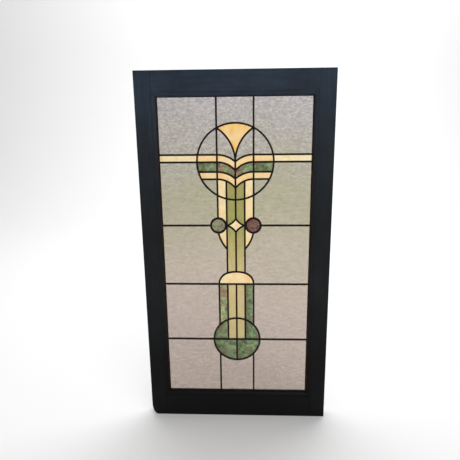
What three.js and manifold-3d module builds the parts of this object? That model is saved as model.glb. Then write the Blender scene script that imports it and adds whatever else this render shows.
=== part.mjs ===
// A leaded glass window in its wooden sash, upright, seen from the front along +Y.
// Millimetres, +Z up. The origin is the middle of the sash's underside, where it stands on the sill.
import * as THREE from 'three';
import { mergeVertices } from 'three/addons/utils/BufferGeometryUtils.js';
import Module from 'manifold-3d';

const wasm = await Module();
wasm.setup();

// The sash: two stiles the full height, two rails tenoned through them
const sashWidth = 610;
const sashHeight = 1180;
const sashThickness = 35;
const stileWidth = 65;
const topRailWidth = 77.5;
const bottomRailWidth = 91;
const mouldingWidth = 14; // the ovolo worked on the inner front edge
const mouldingQuirk = 1.5; // step from the face down to the ovolo
const mouldingDrop = 10; // depth at which the ovolo reaches the sight edge
const rabbetShelf = 12; // depth of the shelf that the leaded panel lies against
const rabbetWidth = 9.5;
const tenonLength = 42;
const tenonThickness = 12;
const tenonShelfGap = 3; // from the shelf to the tenon's cheek
const tenonEdgeInset = 14; // from the rail's outer edge to the tenon
const tenonSightInset = 18; // from the sight edge to the tenon
const jointGap = 0.3; // painted joint line between two boards
const wornCorner = { across: 22, up: 40 }; // the rubbed lower corner of the left stile
const wornSteps = 8;

// The glazing beads that hold the panel in from behind
const beadDepth = 13;
const beadNose = 4; // square part of the bead before it rounds off
const beadBackWidth = 3;
const beadGap = 0.3;

// The leaded panel: glass in H-section cames, with a wide came round the edge
const panelClearance = 1.5; // all round, inside the rabbet
const panelShelfGap = 0.3;
const glassThickness = 3.2;
const glassGap = 0.3; // cement between the glass and the lead
const flangeThickness = 0.9;
const flangeWidth = 5.8;
const heartThickness = 1.6;
const ringFlangeWidth = 6.8; // heavier came round the roundels
const ringHeartThickness = 2.2;
const borderFlangeWidth = 10.5;
const borderHeartThickness = 4.2;

// The drawing of the leads, as centre lines: the bars hang from the top, and three rows fill the height below
const columnHalf = 57.5; // the two outer uprights
const stripHalf = 29; // the two inner uprights
const topPaneHeight = 177; // from the sight edge down to the bars
const barHeight = 23;
const greenBandHeight = 31;
const lowerBandHeight = 23;
const bendDrops = [22, 27, 22, 29]; // how far each band line dips at the middle, from the top one down
const upperRowExtra = 3; // the row under the bars is a little taller
const footPaneHeight = 201;
const bigCircleRadius = 120.5;
const fanSagShare = 0.26; // of columnHalf, so that the fan's two leads stay upright where they meet
const roundelRadius = 24;
const roundelGap = 3.5; // from its lead to the inner upright, where the two run together
const diamondHalfHeight = 23;
const diamondSag = 3.6;
const tailDrop = 80;
const tailSag = 4.5;
const nibReach = 9; // where the glass beside a roundel is nipped off
const domeShoulderRadius = 41; // the dome rises upright at its ends, then leans over to its crown
const lowCircleRadius = 78.5;
const chordError = 0.3; // how far a facet may lie off a true arc
const beyond = 1; // cutters run past the faces that they cut

const frontFace = -sashThickness / 2;
const backFace = sashThickness / 2;
const sightHalf = sashWidth / 2 - stileWidth;
const sightBottom = bottomRailWidth;
const sightTop = sashHeight - topRailWidth;
const shelf = frontFace + rabbetShelf;
const panelReach = rabbetWidth - panelClearance; // how far the panel goes in beyond the sight edge
const panelHalf = sightHalf + panelReach;
const panelBottom = sightBottom - panelReach;
const panelTop = sightTop + panelReach;
const cameHeight = glassThickness + 2 * glassGap + 2 * flangeThickness;
const panelFront = shelf + panelShelfGap;
const panelBack = panelFront + cameHeight;

const woodPaint = new THREE.MeshStandardMaterial({ color: 0x1d2229, roughness: 0.55, metalness: 0 });
const lead = new THREE.MeshStandardMaterial({ color: 0x26211f, roughness: 0.5, metalness: 0.6 });
const glassColours = {
  clear: 0xb3aeac,
  amber: 0xf3cf90,
  olive: 0xa3a45e,
  straw: 0xc9b780,
  mottled: 0x5f7f56,
  plum: 0x6e4550,
};
const glassMaterials = Object.fromEntries(
  Object.entries(glassColours).map(([kind, color]) => [
    kind,
    new THREE.MeshStandardMaterial({ color, roughness: 0.2, metalness: 0 }),
  ]),
);

// Solids

function solidOf(geometry, matrix = new THREE.Matrix4()) {
  const bare = new THREE.BufferGeometry();
  bare.setAttribute('position', geometry.getAttribute('position').clone());
  if (geometry.index) bare.setIndex(geometry.index.clone());
  const merged = mergeVertices(bare.applyMatrix4(matrix), 1e-4);
  return new wasm.Manifold(
    new wasm.Mesh({
      numProp: 3,
      vertProperties: new Float32Array(merged.attributes.position.array),
      triVerts: new Uint32Array(merged.index.array),
    }),
  );
}

function geometryOf(solid) {
  const { vertProperties, numProp, numVert, triVerts } = solid.getMesh();
  const places = new Float32Array(numVert * 3);
  for (let i = 0; i < numVert; i++) {
    places.set(vertProperties.subarray(i * numProp, i * numProp + 3), i * 3);
  }
  const geometry = new THREE.BufferGeometry();
  geometry.setAttribute('position', new THREE.BufferAttribute(places, 3));
  geometry.setIndex(new THREE.BufferAttribute(new Uint32Array(triVerts), 1));
  geometry.computeVertexNormals();
  return geometry;
}

function box(low, high) {
  const size = high.map((value, i) => value - low[i]);
  const middle = high.map((value, i) => (value + low[i]) / 2);
  return solidOf(new THREE.BoxGeometry(...size), new THREE.Matrix4().makeTranslation(...middle));
}

function extruded(points, depth) {
  const shape = new THREE.Shape(points.map(([x, y]) => new THREE.Vector2(x, y)));
  return new THREE.ExtrudeGeometry(shape, { depth, bevelEnabled: false, steps: 1 });
}

// A slab drawn in X and Z, standing upright between two depths in Y
function upright(points, front, back) {
  const turn = new THREE.Matrix4().makeRotationX(Math.PI / 2).setPosition(0, back, 0);
  return solidOf(extruded(points, back - front), turn);
}

// Each came keeps the sight line, its own heart and the glass at set distances from its centre line

const came = { sight: flangeWidth / 2, heart: heartThickness / 2, glass: heartThickness / 2 + glassGap };
const ring = {
  sight: ringFlangeWidth / 2,
  heart: ringHeartThickness / 2,
  glass: ringHeartThickness / 2 + glassGap,
};
const border = {
  sight: borderFlangeWidth,
  heart: borderHeartThickness,
  glass: borderHeartThickness + glassGap,
};
const nib = { heart: -glassGap, glass: 0 }; // a nipped corner, under the flange, so no sight line

const straight = { keeps: came };
const edge = { keeps: border };
const nipped = { keeps: nib };
const arc = (x, z, radius, keeps = came) => ({ x, z, radius, keeps });

// The arc from a to b that bows out by sag, to the left of the way from a to b
function bow(a, b, sag) {
  const half = Math.hypot(b[0] - a[0], b[1] - a[1]) / 2;
  const radius = (half * half + sag * sag) / (2 * sag);
  const left = [(a[1] - b[1]) / (2 * half), (b[0] - a[0]) / (2 * half)];
  const toCentre = sag - radius;
  return arc((a[0] + b[0]) / 2 + left[0] * toCentre, (a[1] + b[1]) / 2 + left[1] * toCentre, radius);
}

const upperAt = (circle, x) => circle.z + Math.sqrt(circle.radius ** 2 - (x - circle.x) ** 2);
const lowerAt = (circle, x) => circle.z - Math.sqrt(circle.radius ** 2 - (x - circle.x) ** 2);
const leftAt = (circle, z) => circle.x - Math.sqrt(circle.radius ** 2 - (z - circle.z) ** 2);

// One side of a pane, moved into the pane by its came's distance
function movedSide(from, to, side, layer) {
  const by = side.keeps[layer];
  if (side.radius) {
    const turn = (from[0] - side.x) * (to[1] - side.z) - (from[1] - side.z) * (to[0] - side.x);
    return { x: side.x, z: side.z, radius: turn > 0 ? side.radius - by : side.radius + by };
  }
  const length = Math.hypot(to[0] - from[0], to[1] - from[1]);
  const along = [(to[0] - from[0]) / length, (to[1] - from[1]) / length];
  return { x: from[0] - along[1] * by, z: from[1] + along[0] * by, along };
}

function crossings(a, b) {
  if (a.along && b.along) {
    const det = a.along[0] * b.along[1] - a.along[1] * b.along[0];
    const t = ((b.x - a.x) * b.along[1] - (b.z - a.z) * b.along[0]) / det;
    return [[a.x + a.along[0] * t, a.z + a.along[1] * t]];
  }
  if (b.along) return crossings(b, a);
  let foot;
  let along;
  if (a.along) {
    const t = (b.x - a.x) * a.along[0] + (b.z - a.z) * a.along[1];
    foot = [a.x + a.along[0] * t, a.z + a.along[1] * t];
    along = a.along;
  } else {
    const gap = Math.hypot(b.x - a.x, b.z - a.z);
    const toA = (gap * gap + a.radius ** 2 - b.radius ** 2) / (2 * gap);
    foot = [a.x + ((b.x - a.x) * toA) / gap, a.z + ((b.z - a.z) * toA) / gap];
    along = [-(b.z - a.z) / gap, (b.x - a.x) / gap];
  }
  // Arcs that run smoothly into each other only touch, so this may round to just under nothing
  const reach = Math.sqrt(Math.max(0, b.radius ** 2 - (foot[0] - b.x) ** 2 - (foot[1] - b.z) ** 2));
  return [reach, -reach].map((t) => [foot[0] + along[0] * t, foot[1] + along[1] * t]);
}

function nearest(points, place) {
  const far = ([x, z]) => Math.hypot(x - place[0], z - place[1]);
  return points.reduce((best, point) => (far(point) < far(best) ? point : best));
}

function arcPoints(centre, radius, start, sweep) {
  const step = 2 * Math.acos(1 - chordError / radius);
  const count = Math.max(1, Math.ceil(Math.abs(sweep) / step));
  return Array.from({ length: count }, (_, i) => {
    const angle = start + (sweep * i) / count;
    return [centre.x + radius * Math.cos(angle), centre.z + radius * Math.sin(angle)];
  });
}

// The outline of a pane on one layer: its corners are [corner, side to the next corner], anticlockwise
function outlineOf(pane, layer) {
  if (pane.radius) return arcPoints(pane, pane.radius - pane.keeps[layer], 0, 2 * Math.PI);
  const used = pane
    .map(([corner, side], i) => ({ corner, side, end: pane[(i + 1) % pane.length][0] }))
    .filter(({ side }) => layer in side.keeps);
  const sides = used.map(({ corner, side, end }) => movedSide(corner, end, side, layer));
  const corners = used.map(({ corner }, i) => nearest(crossings(sides.at(i - 1), sides[i]), corner));
  return corners.flatMap((corner, i) => {
    const side = sides[i];
    if (side.along) return [corner];
    const next = corners[(i + 1) % corners.length];
    const start = Math.atan2(corner[1] - side.z, corner[0] - side.x);
    const end = Math.atan2(next[1] - side.z, next[0] - side.x);
    const sweep = Math.atan2(Math.sin(end - start), Math.cos(end - start));
    return arcPoints(side, side.radius, start, sweep);
  });
}

const other = ([x, z]) => [-x, z];
const flipped = (side) => (side.radius ? { ...side, x: -side.x } : side);

function mirrored(pane) {
  if (pane.radius) return flipped(pane);
  return pane.map((_, i) => [other(pane.at(-i)[0]), flipped(pane.at(-i - 1)[1])]);
}

// The lead drawing

const barTop = sightTop - topPaneHeight;
const barBottom = barTop - barHeight;
const greenBottom = barBottom - greenBandHeight;
const bandBottom = greenBottom - lowerBandHeight;
const lowLevel = sightBottom + footPaneHeight;
const rowHeight = (barBottom - lowLevel - upperRowExtra) / 3;
const domeLevel = lowLevel + rowHeight;
const roundelLevel = domeLevel + rowHeight;

const bigCircle = arc(0, barBottom, bigCircleRadius);
const lowCircle = arc(0, lowLevel, lowCircleRadius);
const roundel = arc(-stripHalf - roundelGap - roundelRadius, roundelLevel, roundelRadius, ring);

// The dome's shoulder runs smoothly into its crown at the inner upright
const domeShoulder = arc(-columnHalf + domeShoulderRadius, domeLevel, domeShoulderRadius);
const domeAtStrip = [-stripHalf, upperAt(domeShoulder, -stripHalf)];
const crownRadius = (domeShoulderRadius * stripHalf) / (domeShoulder.x + stripHalf);
const domeCrown = arc(0, domeAtStrip[1] - Math.sqrt(crownRadius ** 2 - stripHalf ** 2), crownRadius);

// Each band line runs level to the outer upright, then bends down to the middle
const bandLines = [barTop, barBottom, greenBottom, bandBottom].map((level, i) => {
  const radius = (columnHalf ** 2 + bendDrops[i] ** 2) / (2 * bendDrops[i]);
  return {
    circleEnd: [leftAt(bigCircle, level), level],
    start: [-columnHalf, level],
    bend: arc(-columnHalf, level - radius, radius),
    foot: [0, level - bendDrops[i]],
  };
});
const [barHead, barFoot, greenFoot, bandFoot] = bandLines;

const circleShoulder = [-columnHalf, upperAt(bigCircle, -columnHalf)];
const circleHip = [-columnHalf, lowerAt(bigCircle, -columnHalf)];
const circleAtStrip = [-stripHalf, lowerAt(bigCircle, -stripHalf)];
const circleFoot = [0, barBottom - bigCircleRadius];
const fan = bow(circleShoulder, barHead.foot, fanSagShare * columnHalf);
const bandAtStrip = [-stripHalf, upperAt(bandFoot.bend, -stripHalf)];

const roundelTop = [-columnHalf, upperAt(roundel, -columnHalf)];
const roundelLeft = [roundel.x - roundelRadius, roundelLevel];
const roundelFoot = [roundel.x, roundelLevel - roundelRadius];
const roundelRightX = roundel.x + Math.sqrt(roundelRadius ** 2 - nibReach ** 2);
const nibsAbove = [[roundelRightX, roundelLevel + nibReach], [-stripHalf, roundelLevel + nibReach]];
const nibsBelow = [[roundelRightX, roundelLevel - nibReach], [-stripHalf, roundelLevel - nibReach]];
const diamondSide = [-stripHalf, roundelLevel];
const diamondTop = [0, roundelLevel + diamondHalfHeight];
const diamondFoot = [0, roundelLevel - diamondHalfHeight];
const diamondUpper = bow(diamondTop, diamondSide, diamondSag);
const diamondLower = bow(diamondSide, diamondFoot, diamondSag);
const tailEnd = [-stripHalf, roundelLevel - tailDrop];
const tail = bow(tailEnd, roundelFoot, tailSag);

const domeSide = [-columnHalf, domeLevel];
const domeTop = [0, domeCrown.z + crownRadius];
const lowShoulder = [-columnHalf, upperAt(lowCircle, -columnHalf)];
const lowAtStrip = [-stripHalf, upperAt(lowCircle, -stripHalf)];
const lowTop = [0, lowLevel + lowCircleRadius];
const lowLeft = [-lowCircleRadius, lowLevel];
const lowHip = [-columnHalf, lowerAt(lowCircle, -columnHalf)];
const lowFoot = [0, lowLevel - lowCircleRadius];
const atEdge = (level) => [-panelHalf, level];

// One level band piece in the circle, and its bent neighbour, between two band lines
const levelPane = (above, below) => [
  [below.circleEnd, straight], [below.start, straight],
  [above.start, straight], [above.circleEnd, bigCircle],
];
const bentPane = (above, below) => [
  [below.start, below.bend], [below.foot, straight], [above.foot, above.bend], [above.start, straight],
];

// Left-hand panes, each mirrored to the right: [name, kind of glass, pane]
const sidePanes = [
  ['clear_top_corner', 'clear', [
    [atEdge(barTop), straight], [barHead.circleEnd, bigCircle], [circleShoulder, straight],
    [[-columnHalf, panelTop], edge], [atEdge(panelTop), edge],
  ]],
  ['clear_circle_shoulder', 'clear', [
    [barHead.circleEnd, straight], [barHead.start, straight], [circleShoulder, bigCircle],
  ]],
  ['clear_fan_side', 'clear', [
    [barHead.start, barHead.bend], [barHead.foot, fan], [circleShoulder, straight],
  ]],
  ['amber_bar_outer', 'amber', [
    [atEdge(barBottom), straight], [barFoot.circleEnd, bigCircle],
    [barHead.circleEnd, straight], [atEdge(barTop), edge],
  ]],
  ['amber_bar_inner', 'amber', levelPane(barHead, barFoot)],
  ['amber_bar_bend', 'amber', bentPane(barHead, barFoot)],
  ['green_band', 'mottled', levelPane(barFoot, greenFoot)],
  ['green_band_bend', 'mottled', bentPane(barFoot, greenFoot)],
  ['amber_band', 'amber', levelPane(greenFoot, bandFoot)],
  ['amber_band_bend', 'amber', bentPane(greenFoot, bandFoot)],
  ['clear_circle_hip', 'clear', [
    [circleHip, straight], [bandFoot.start, straight], [bandFoot.circleEnd, bigCircle],
  ]],
  ['clear_upper_middle', 'clear', [
    [atEdge(roundelLevel), straight], [roundelLeft, roundel], [roundelTop, straight],
    [circleHip, bigCircle], [barFoot.circleEnd, straight], [atEdge(barBottom), edge],
  ]],
  ['roundel', 'mottled', roundel],
  ['amber_tail', 'amber', [
    [tailEnd, straight], [nibsBelow[1], nipped], [nibsBelow[0], roundel], [roundelFoot, tail],
  ]],
  ['clear_middle', 'clear', [
    [atEdge(domeLevel), straight], [domeSide, domeShoulder], [domeAtStrip, straight], [tailEnd, tail],
    [roundelFoot, roundel], [roundelLeft, straight], [atEdge(roundelLevel), edge],
  ]],
  ['olive_strip_lower', 'olive', [
    [domeAtStrip, domeCrown], [domeTop, straight], [diamondFoot, diamondLower], [diamondSide, straight],
  ]],
  ['clear_lower_middle', 'clear', [
    [atEdge(lowLevel), straight], [lowLeft, lowCircle], [lowShoulder, straight], [domeSide, straight],
    [atEdge(domeLevel), edge],
  ]],
  ['green_foot_quarter', 'mottled', [
    [lowFoot, straight], [[0, lowLevel], straight], [lowLeft, lowCircle],
  ]],
  ['clear_bottom_corner', 'clear', [
    [atEdge(panelBottom), edge], [[-columnHalf, panelBottom], straight], [lowHip, lowCircle],
    [lowLeft, straight], [atEdge(lowLevel), edge],
  ]],
];

// Side panes that run on under a circle's lead as one solid: [name, kind, whole pane, its parts in sight]
const crossedPanes = [
  ['amber_column', 'amber', [
    [roundelTop, roundel], [nibsAbove[0], nipped], [nibsAbove[1], straight], [bandAtStrip, bandFoot.bend],
    [bandFoot.start, straight],
  ], [
    [
      [circleHip, bigCircle], [circleAtStrip, straight],
      [bandAtStrip, bandFoot.bend], [bandFoot.start, straight],
    ],
    [
      [roundelTop, roundel], [nibsAbove[1], straight],
      [circleAtStrip, bigCircle], [circleHip, straight],
    ],
  ]],
  ['olive_strip_upper', 'olive', [
    [diamondSide, diamondUpper], [diamondTop, straight],
    [bandFoot.foot, bandFoot.bend], [bandAtStrip, straight],
  ], [
    [
      [circleAtStrip, bigCircle], [circleFoot, straight],
      [bandFoot.foot, bandFoot.bend], [bandAtStrip, straight],
    ],
    [
      [diamondSide, diamondUpper], [diamondTop, straight],
      [circleFoot, bigCircle], [circleAtStrip, straight],
    ],
  ]],
  ['green_shoulder_strip', 'mottled', [
    [lowLeft, straight], [[-stripHalf, lowLevel], straight], [[-stripHalf, domeLevel], straight],
    [domeSide, straight], [lowShoulder, lowCircle],
  ], [
    [
      [lowShoulder, lowCircle], [lowAtStrip, straight],
      [[-stripHalf, domeLevel], straight], [domeSide, straight],
    ],
    [[lowLeft, straight], [[-stripHalf, lowLevel], straight], [lowAtStrip, lowCircle]],
  ]],
  ['straw_strip', 'straw', [
    [[-stripHalf, lowLevel], straight], [[0, lowLevel], straight], [[0, domeLevel], straight],
    [[-stripHalf, domeLevel], straight],
  ], [
    [
      [lowAtStrip, lowCircle], [lowTop, straight],
      [[0, domeLevel], straight], [[-stripHalf, domeLevel], straight],
    ],
    [
      [[-stripHalf, lowLevel], straight], [[0, lowLevel], straight],
      [lowTop, lowCircle], [lowAtStrip, straight],
    ],
  ]],
];

const middlePanes = [
  ['clear_top_middle', 'clear', [
    [circleShoulder, bigCircle], [other(circleShoulder), straight], [[columnHalf, panelTop], edge],
    [[-columnHalf, panelTop], straight],
  ]],
  ['amber_fan', 'amber', [
    [barHead.foot, flipped(fan)], [other(circleShoulder), bigCircle], [circleShoulder, fan],
  ]],
  ['amber_diamond', 'amber', [
    [diamondFoot, flipped(diamondLower)], [other(diamondSide), flipped(diamondUpper)],
    [diamondTop, diamondUpper], [diamondSide, diamondLower],
  ]],
  ['amber_dome', 'amber', [
    [domeSide, straight], [other(domeSide), flipped(domeShoulder)],
    [other(domeAtStrip), domeCrown], [domeAtStrip, domeShoulder],
  ]],
  ['clear_bottom_middle', 'clear', [
    [[-columnHalf, panelBottom], edge], [[columnHalf, panelBottom], straight], [other(lowHip), lowCircle],
    [lowHip, straight],
  ]],
];

function allPanes() {
  const both = [];
  for (const [name, kind, pane, parts = [pane]] of [...sidePanes, ...crossedPanes]) {
    const rightKind = name === 'roundel' ? 'plum' : kind;
    both.push({ name: `${name}_left`, kind, pane, parts });
    both.push({ name: `${name}_right`, kind: rightKind, pane: mirrored(pane), parts: parts.map(mirrored) });
  }
  return [...both, ...middlePanes.map(([name, kind, pane]) => ({ name, kind, pane, parts: [pane] }))];
}

// The leaded panel

// The net of cames: a slab with a window through it for each pane in sight, and between the two flanges
// a wider channel that the edge of the glass stands in
function leadNet(panes) {
  let net = box([-panelHalf, panelFront, panelBottom], [panelHalf, panelBack, panelTop]);
  for (const { pane, parts } of panes) {
    for (const part of parts) {
      net = net.subtract(upright(outlineOf(part, 'sight'), panelFront - beyond, panelBack + beyond));
    }
    const channel = [panelFront + flangeThickness, panelBack - flangeThickness];
    net = net.subtract(upright(outlineOf(pane, 'heart'), ...channel));
  }
  return net;
}

function glassPane(pane) {
  const front = panelFront + flangeThickness + glassGap;
  return upright(outlineOf(pane, 'glass'), front, front + glassThickness);
}

// The sash

const mouldingOuter = sightHalf + mouldingWidth;
const rabbetHalf = sightHalf + rabbetWidth;
const tenonFront = shelf + tenonShelfGap;
const roundSteps = 5; // facets across a moulding or a bead's nose

// A moulded length of wood: its section is u inward from its outer edge and depth back from the front face
function woodLength(section, length, inward, outerEdge) {
  const along = new THREE.Vector3().crossVectors(inward, new THREE.Vector3(0, 1, 0));
  const start = outerEdge.clone().addScaledVector(along, -length / 2);
  const turn = new THREE.Matrix4().makeBasis(inward, new THREE.Vector3(0, 1, 0), along);
  return solidOf(extruded(section, length), turn.setPosition(start.x, frontFace, start.z));
}

function boardSection(width) {
  const shoulder = width - mouldingWidth;
  const ovolo = Array.from({ length: roundSteps + 1 }, (_, i) => {
    const turn = (Math.PI / 2) * (i / roundSteps);
    return [
      shoulder + mouldingWidth * Math.sin(turn),
      mouldingDrop - (mouldingDrop - mouldingQuirk) * Math.cos(turn),
    ];
  });
  return [
    [0, 0], [shoulder, 0], ...ovolo, [width, rabbetShelf], [width - rabbetWidth, rabbetShelf],
    [width - rabbetWidth, sashThickness], [0, sashThickness],
  ];
}

// Each rail by its outer edge and its sight edge in Z, and which way is outward
const bottomRail = { width: bottomRailWidth, outer: 0, sight: sightBottom, outward: -1 };
const topRail = { width: topRailWidth, outer: sashHeight, sight: sightTop, outward: 1 };

// The front of a rail between the stiles: it widens along the moulding's mitres to its square shoulders
function railFront({ outer, sight, outward }, gap) {
  const slant = gap * Math.SQRT2;
  const right = [
    [sightHalf - slant - beyond, sight - outward * beyond],
    [mouldingOuter - gap, sight + outward * (mouldingWidth - gap + slant)],
    [mouldingOuter - gap, outer + outward * beyond],
  ];
  return [...right, ...right.map(other).reverse()];
}

// Both tenons of a rail as one bar through it, grown by a gap for the mortises
function tenonBar({ outer, sight, outward }, gap) {
  const reach = rabbetHalf + tenonLength + gap;
  const ends = [outer - outward * (tenonEdgeInset - gap), sight + outward * (tenonSightInset - gap)];
  return box(
    [-reach, tenonFront - gap, Math.min(...ends)],
    [reach, tenonFront + tenonThickness + gap, Math.max(...ends)],
  );
}

function railSolid(rail) {
  const inward = new THREE.Vector3(0, 0, -rail.outward);
  const length = 2 * mouldingOuter;
  const wood = woodLength(boardSection(rail.width), length, inward, new THREE.Vector3(0, 0, rail.outer));
  const back = box(
    [-rabbetHalf + jointGap, shelf, -beyond],
    [rabbetHalf - jointGap, backFace + beyond, sashHeight + beyond],
  );
  const between = upright(railFront(rail, jointGap), frontFace - beyond, shelf).add(back);
  return wood.intersect(between).add(tenonBar(rail, 0));
}

// The wear at the foot of the left stile: what lies outside a quarter of an ellipse
function wornOff() {
  const centre = [wornCorner.across - sashWidth / 2, wornCorner.up];
  const curve = Array.from({ length: wornSteps + 1 }, (_, i) => {
    const turn = (Math.PI / 2) * (i / wornSteps);
    return [centre[0] - wornCorner.across * Math.cos(turn), centre[1] - wornCorner.up * Math.sin(turn)];
  });
  const outside = [
    [centre[0], -beyond], [-sashWidth / 2 - beyond, -beyond], [-sashWidth / 2 - beyond, centre[1]],
  ];
  return upright([...curve, ...outside], frontFace - beyond, backFace + beyond);
}

function stileSolid(side) {
  const outerEdge = new THREE.Vector3((side * sashWidth) / 2, 0, sashHeight / 2);
  let stile = woodLength(boardSection(stileWidth), sashHeight, new THREE.Vector3(-side, 0, 0), outerEdge);
  for (const rail of [bottomRail, topRail]) {
    stile = stile.subtract(upright(railFront(rail, 0), frontFace - beyond, shelf + jointGap));
    stile = stile.subtract(tenonBar(rail, jointGap));
  }
  return side < 0 ? stile.subtract(wornOff()) : stile;
}

// The glazing beads

// One bead round the rabbet, square against the panel and rounded off behind, its ends mitred
function beadSolid(inward, middle, length) {
  const start = panelBack + beadGap - frontFace;
  const nose = Array.from({ length: roundSteps + 1 }, (_, i) => {
    const turn = (Math.PI / 2) * (i / roundSteps);
    return [
      beadBackWidth + (rabbetWidth - beadBackWidth) * Math.cos(turn),
      start + beadNose + (beadDepth - beadNose) * Math.sin(turn),
    ];
  });
  const section = [[beadGap, start], [rabbetWidth, start], ...nose, [beadGap, start + beadDepth]];
  const bead = woodLength(section, length, inward, middle);
  const along = [inward.z, inward.x];
  const at = (offset, deep) => [
    middle.x + along[0] * offset + inward.x * deep,
    middle.z + along[1] * offset + inward.z * deep,
  ];
  const end = length / 2 - beadGap;
  const deep = rabbetWidth + beyond;
  const mitred = [at(-end, 0), at(end, 0), at(end - deep, deep), at(deep - end, deep)];
  return bead.intersect(upright(mitred, panelBack, backFace));
}

const rabbetBottom = sightBottom - rabbetWidth;
const rabbetTop = sightTop + rabbetWidth;
const rabbetMiddle = (rabbetBottom + rabbetTop) / 2;
const beads = {
  bead_left: beadSolid(
    new THREE.Vector3(1, 0, 0), new THREE.Vector3(-rabbetHalf, 0, rabbetMiddle), rabbetTop - rabbetBottom,
  ),
  bead_right: beadSolid(
    new THREE.Vector3(-1, 0, 0), new THREE.Vector3(rabbetHalf, 0, rabbetMiddle), rabbetTop - rabbetBottom,
  ),
  bead_bottom: beadSolid(new THREE.Vector3(0, 0, 1), new THREE.Vector3(0, 0, rabbetBottom), 2 * rabbetHalf),
  bead_top: beadSolid(new THREE.Vector3(0, 0, -1), new THREE.Vector3(0, 0, rabbetTop), 2 * rabbetHalf),
};

// The window

function named(name, solid, material) {
  const mesh = new THREE.Mesh(geometryOf(solid), material);
  mesh.name = name;
  return mesh;
}

const sash = new THREE.Group();
sash.add(
  named('left_stile', stileSolid(-1), woodPaint),
  named('right_stile', stileSolid(1), woodPaint),
  named('top_rail', railSolid(topRail), woodPaint),
  named('bottom_rail', railSolid(bottomRail), woodPaint),
);
for (const [name, solid] of Object.entries(beads)) sash.add(named(name, solid, woodPaint));

const panes = allPanes();
const panel = new THREE.Group();
panel.add(named('lead_came', leadNet(panes), lead));
for (const { name, kind, pane } of panes) panel.add(named(name, glassPane(pane), glassMaterials[kind]));

const stainedGlassWindow = new THREE.Group();
stainedGlassWindow.add(sash, panel);

export default stainedGlassWindow;
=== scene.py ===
import math

import bmesh
import bpy
import numpy as np
from mathutils import Matrix, Vector, geometry, noise


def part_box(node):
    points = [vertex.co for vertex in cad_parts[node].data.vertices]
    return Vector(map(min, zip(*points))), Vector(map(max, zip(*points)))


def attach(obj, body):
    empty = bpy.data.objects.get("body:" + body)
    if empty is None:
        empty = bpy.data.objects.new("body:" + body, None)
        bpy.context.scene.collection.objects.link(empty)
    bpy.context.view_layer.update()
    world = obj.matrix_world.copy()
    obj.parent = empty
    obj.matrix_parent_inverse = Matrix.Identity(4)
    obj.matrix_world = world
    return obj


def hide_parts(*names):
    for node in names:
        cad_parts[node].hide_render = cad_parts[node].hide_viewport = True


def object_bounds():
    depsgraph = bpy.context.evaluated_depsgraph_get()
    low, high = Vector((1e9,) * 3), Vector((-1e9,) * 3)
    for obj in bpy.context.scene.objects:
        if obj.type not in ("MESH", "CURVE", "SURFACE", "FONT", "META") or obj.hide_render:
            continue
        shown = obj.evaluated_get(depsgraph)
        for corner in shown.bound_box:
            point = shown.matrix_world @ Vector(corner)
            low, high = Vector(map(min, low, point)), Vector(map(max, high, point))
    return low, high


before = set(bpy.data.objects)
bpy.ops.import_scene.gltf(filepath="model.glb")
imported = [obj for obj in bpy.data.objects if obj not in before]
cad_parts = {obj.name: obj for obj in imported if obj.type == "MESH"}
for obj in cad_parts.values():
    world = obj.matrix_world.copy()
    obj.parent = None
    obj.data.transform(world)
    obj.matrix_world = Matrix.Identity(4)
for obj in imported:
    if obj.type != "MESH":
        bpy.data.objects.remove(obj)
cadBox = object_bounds()
mm = 0.001
sashTop = cadBox[1].z
netLow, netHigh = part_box("lead_came")
glassLow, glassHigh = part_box("amber_fan")
rimLeft, rimBottom, rimRight, rimTop = (v / mm for v in (netLow.x, netLow.z, netHigh.x, netHigh.z))

# The drawing of the leads as centre lines, in mm, the same as in the solids
drawing = {
    "columnHalf": 57.5,
    "stripHalf": 29,
    "topPaneHeight": 177,
    "barHeight": 23,
    "greenBandHeight": 31,
    "lowerBandHeight": 23,
    "bendDrops": (22, 27, 22, 29),
    "upperRowExtra": 3,
    "footPaneHeight": 201,
    "bigCircleRadius": 120.5,
    "fanSag": 14.95,
    "roundelRadius": 24,
    "roundelGap": 3.5,
    "diamondHalfHeight": 23,
    "diamondSag": 3.6,
    "tailDrop": 80,
    "tailSag": 4.5,
    "nibReach": 9,
    "domeShoulderRadius": 41,
    "lowCircleRadius": 78.5,
    "panelReach": 8,  # of the panel, under the sash from its sight edge
    "arcStep": 2.2,  # between the points of an arc
}
sightHalf = netHigh.x - drawing["panelReach"] * mm  # from the middle to a stile's sight edge, in m

# How far the sight line, the heart and the glass keep from a lead's centre line, in mm
came = {"sight": 2.9, "heart": 0.8, "glass": 1.1}
ring = {"sight": 3.4, "heart": 1.1, "glass": 1.4}
border = {"sight": 10.5, "heart": 4.2, "glass": 4.5}
nib = {"heart": -0.3, "glass": 0.0}

straight = {"keeps": came}
edge = {"keeps": border}
nipped = {"keeps": nib}


def arc(x, z, radius, keeps=came):
    return {"x": x, "z": z, "radius": radius, "keeps": keeps}


def bow(a, b, sag):  # bows out to the left of the way from a to b
    half = math.dist(a, b) / 2
    radius = (half * half + sag * sag) / (2 * sag)
    left = Vector((a[1] - b[1], b[0] - a[0])) / (2 * half)
    centre = (Vector(a) + Vector(b)) / 2 + left * (sag - radius)
    return arc(centre.x, centre.y, radius)


def upperAt(circle, x):
    return circle["z"] + math.sqrt(circle["radius"] ** 2 - (x - circle["x"]) ** 2)


def lowerAt(circle, x):
    return 2 * circle["z"] - upperAt(circle, x)


def leftAt(circle, z):
    return circle["x"] - math.sqrt(circle["radius"] ** 2 - (z - circle["z"]) ** 2)


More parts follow.
